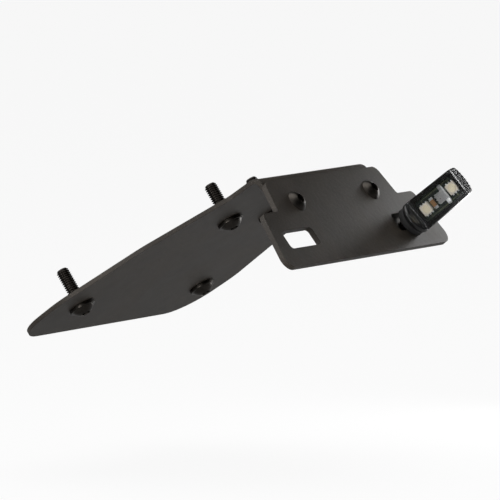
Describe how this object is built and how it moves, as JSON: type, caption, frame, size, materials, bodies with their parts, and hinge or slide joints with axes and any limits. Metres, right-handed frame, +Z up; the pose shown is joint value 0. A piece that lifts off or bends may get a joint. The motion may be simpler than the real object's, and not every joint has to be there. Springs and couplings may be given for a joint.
{
  "type": "tail tidy",
  "caption": "Flat black tail tidy for a motorbike: a folded undertray plate, a T-shaped number plate bracket bolted to its flange, and a small plate light on one wing.",
  "frame": {"origin": "on the upper face of the undertray plate, which seats against the tail, midway between the two front screws", "axes": "+X to the rear of the bike, +Y to its right-hand side, +Z up, with the tray rising to the rear as it does on the bike"},
  "size_m": [0.1621, 0.151, 0.0735],
  "materials": {
    "black_powder_coat": "satin black powder coat with a fine texture",
    "black_zinc": "black zinc plating, satin",
    "black_plastic": "moulded black plastic, semi-gloss",
    "clear_cover": "clear polycarbonate, polished",
    "black_rubber": "moulded rubber, matt",
    "blue_nylon": "moulded nylon",
    "circuit_board": "black-green solder mask",
    "lamp_cream": "pale lamp body with a clear dome",
    "resistor_brown": "brown ceramic",
    "tinned_metal": "tinned metal, bright"
  },
  "bodies": {
    "root": {"undertray_plate": "black_powder_coat", "number_plate_bracket": "black_powder_coat", "front_left_screw": "black_zinc", "front_right_screw": "black_zinc", "rear_left_screw": "black_zinc", "rear_right_screw": "black_zinc", "front_left_washer": "black_zinc", "front_right_washer": "black_zinc", "rear_left_washer": "black_zinc", "rear_right_washer": "black_zinc", "bracket_bolt_left": "black_zinc", "bracket_bolt_right": "black_zinc", "bracket_washer_left": "black_zinc", "bracket_washer_right": "black_zinc", "bracket_nut_left": "black_zinc", "bracket_nut_right": "black_zinc", "nylon_ring_left": "blue_nylon", "nylon_ring_right": "blue_nylon", "light_housing": "black_plastic", "light_lens": "clear_cover", "light_board": "circuit_board", "light_led_inner": "lamp_cream", "light_led_outer": "lamp_cream", "light_resistor": "resistor_brown", "light_driver": "tinned_metal", "light_seal": "black_rubber", "light_stud": "black_zinc", "light_washer": "black_zinc", "light_nut": "black_zinc"}
  },
  "joints": []
}
